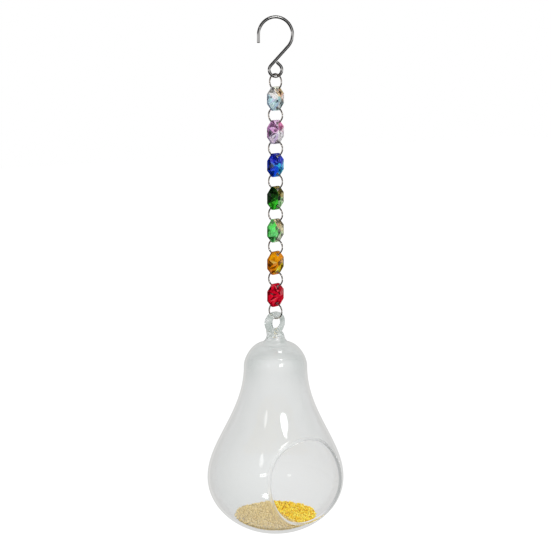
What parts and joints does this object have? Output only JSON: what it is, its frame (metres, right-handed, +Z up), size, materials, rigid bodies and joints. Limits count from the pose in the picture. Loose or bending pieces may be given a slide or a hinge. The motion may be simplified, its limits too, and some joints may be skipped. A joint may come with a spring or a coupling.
{
  "type": "hanging glass bird feeder",
  "caption": "Bird feeder: a clear blown glass pear with a round feeding hole and seed inside, hung by its glass loop from a chain of coloured crystal beads, rings and an S-hook.",
  "frame": {"origin": "the bearing point at the inside top of the hook's crook", "axes": "+Z up along the hanging line; the feeding hole faces -Y; +X to the right of it"},
  "size_m": [0.0838, 0.0756, 0.3131],
  "materials": {
    "polished_steel": "polished",
    "nickel_wire": "bright",
    "clear_crystal": "cut and polished",
    "pink_crystal": "cut and polished",
    "blue_crystal": "cut and polished",
    "green_crystal": "cut and polished",
    "light_green_crystal": "cut and polished",
    "amber_crystal": "cut and polished",
    "red_crystal": "cut and polished",
    "clear_glass": "polished",
    "tan_millet": "matte",
    "yellow_millet": "matte"
  },
  "bodies": {
    "hook": {"s_hook": "polished_steel"},
    "jump_ring_1": {"jump_ring_1": "nickel_wire"},
    "bead_1_clear": {"bead_1_clear": "clear_crystal"},
    "jump_ring_2": {"jump_ring_2": "nickel_wire"},
    "bead_2_pink": {"bead_2_pink": "pink_crystal"},
    "jump_ring_3": {"jump_ring_3": "nickel_wire"},
    "bead_3_blue": {"bead_3_blue": "blue_crystal"},
    "jump_ring_4": {"jump_ring_4": "nickel_wire"},
    "bead_4_green": {"bead_4_green": "green_crystal"},
    "jump_ring_5": {"jump_ring_5": "nickel_wire"},
    "bead_5_light_green": {"bead_5_light_green": "light_green_crystal"},
    "jump_ring_6": {"jump_ring_6": "nickel_wire"},
    "bead_6_amber": {"bead_6_amber": "amber_crystal"},
    "jump_ring_7": {"jump_ring_7": "nickel_wire"},
    "bead_7_red": {"bead_7_red": "red_crystal"},
    "jump_ring_8": {"jump_ring_8": "nickel_wire"},
    "globe": {"glass_globe": "clear_glass", "millet_bed": "tan_millet", "yellow_seed": "yellow_millet"}
  },
  "joints": [
    {"name": "jump_ring_1_swing", "type": "hinge", "parent": "hook", "child": "jump_ring_1", "pos_m": [0, 0, -0.0336], "axis": [0.9205, -0.3907, 0], "range_deg": [-60, 60]},
    {"name": "bead_1_clear_swing", "type": "hinge", "parent": "jump_ring_1", "child": "bead_1_clear", "pos_m": [0, 0, -0.0368], "axis": [0.9744, 0.225, 0], "range_deg": [-60, 60]},
    {"name": "jump_ring_2_swing", "type": "hinge", "parent": "bead_1_clear", "child": "jump_ring_2", "pos_m": [0, 0, -0.05193], "axis": [0.2588, -0.9659, 0], "range_deg": [-60, 60]},
    {"name": "bead_2_pink_swing", "type": "hinge", "parent": "jump_ring_2", "child": "bead_2_pink", "pos_m": [0, 0, -0.05646], "axis": [-0.891, -0.454, 0], "range_deg": [-60, 60]},
    {"name": "jump_ring_3_swing", "type": "hinge", "parent": "bead_2_pink", "child": "jump_ring_3", "pos_m": [0, 0, -0.07159], "axis": [-0.2588, 0.9659, 0], "range_deg": [-60, 60]},
    {"name": "bead_3_blue_swing", "type": "hinge", "parent": "jump_ring_3", "child": "bead_3_blue", "pos_m": [0, 0, -0.07612], "axis": [0.891, 0.454, 0], "range_deg": [-60, 60]},
    {"name": "jump_ring_4_swing", "type": "hinge", "parent": "bead_3_blue", "child": "jump_ring_4", "pos_m": [0, 0, -0.09125], "axis": [0.2588, -0.9659, 0], "range_deg": [-60, 60]},
    {"name": "bead_4_green_swing", "type": "hinge", "parent": "jump_ring_4", "child": "bead_4_green", "pos_m": [0, 0, -0.09578], "axis": [-0.891, -0.454, 0], "range_deg": [-60, 60]},
    {"name": "jump_ring_5_swing", "type": "hinge", "parent": "bead_4_green", "child": "jump_ring_5", "pos_m": [0, 0, -0.11091], "axis": [-0.2588, 0.9659, 0], "range_deg": [-60, 60]},
    {"name": "bead_5_light_green_swing", "type": "hinge", "parent": "jump_ring_5", "child": "bead_5_light_green", "pos_m": [0, 0, -0.11545], "axis": [0.891, 0.454, 0], "range_deg": [-60, 60]},
    {"name": "jump_ring_6_swing", "type": "hinge", "parent": "bead_5_light_green", "child": "jump_ring_6", "pos_m": [0, 0, -0.13058], "axis": [0.2588, -0.9659, 0], "range_deg": [-60, 60]},
    {"name": "bead_6_amber_swing", "type": "hinge", "parent": "jump_ring_6", "child": "bead_6_amber", "pos_m": [0, 0, -0.13511], "axis": [-0.891, -0.454, 0], "range_deg": [-60, 60]},
    {"name": "jump_ring_7_swing", "type": "hinge", "parent": "bead_6_amber", "child": "jump_ring_7", "pos_m": [0, 0, -0.15024], "axis": [-0.2588, 0.9659, 0], "range_deg": [-60, 60]},
    {"name": "bead_7_red_swing", "type": "hinge", "parent": "jump_ring_7", "child": "bead_7_red", "pos_m": [0, 0, -0.15477], "axis": [0.891, 0.454, 0], "range_deg": [-60, 60]},
    {"name": "jump_ring_8_swing", "type": "hinge", "parent": "bead_7_red", "child": "jump_ring_8", "pos_m": [0, 0, -0.1699], "axis": [0.2588, -0.9659, 0], "range_deg": [-60, 60]},
    {"name": "globe_swing", "type": "hinge", "parent": "jump_ring_8", "child": "globe", "pos_m": [0, 0, -0.17443], "axis": [-0.9397, -0.342, 0], "range_deg": [-60, 60]}
  ]
}
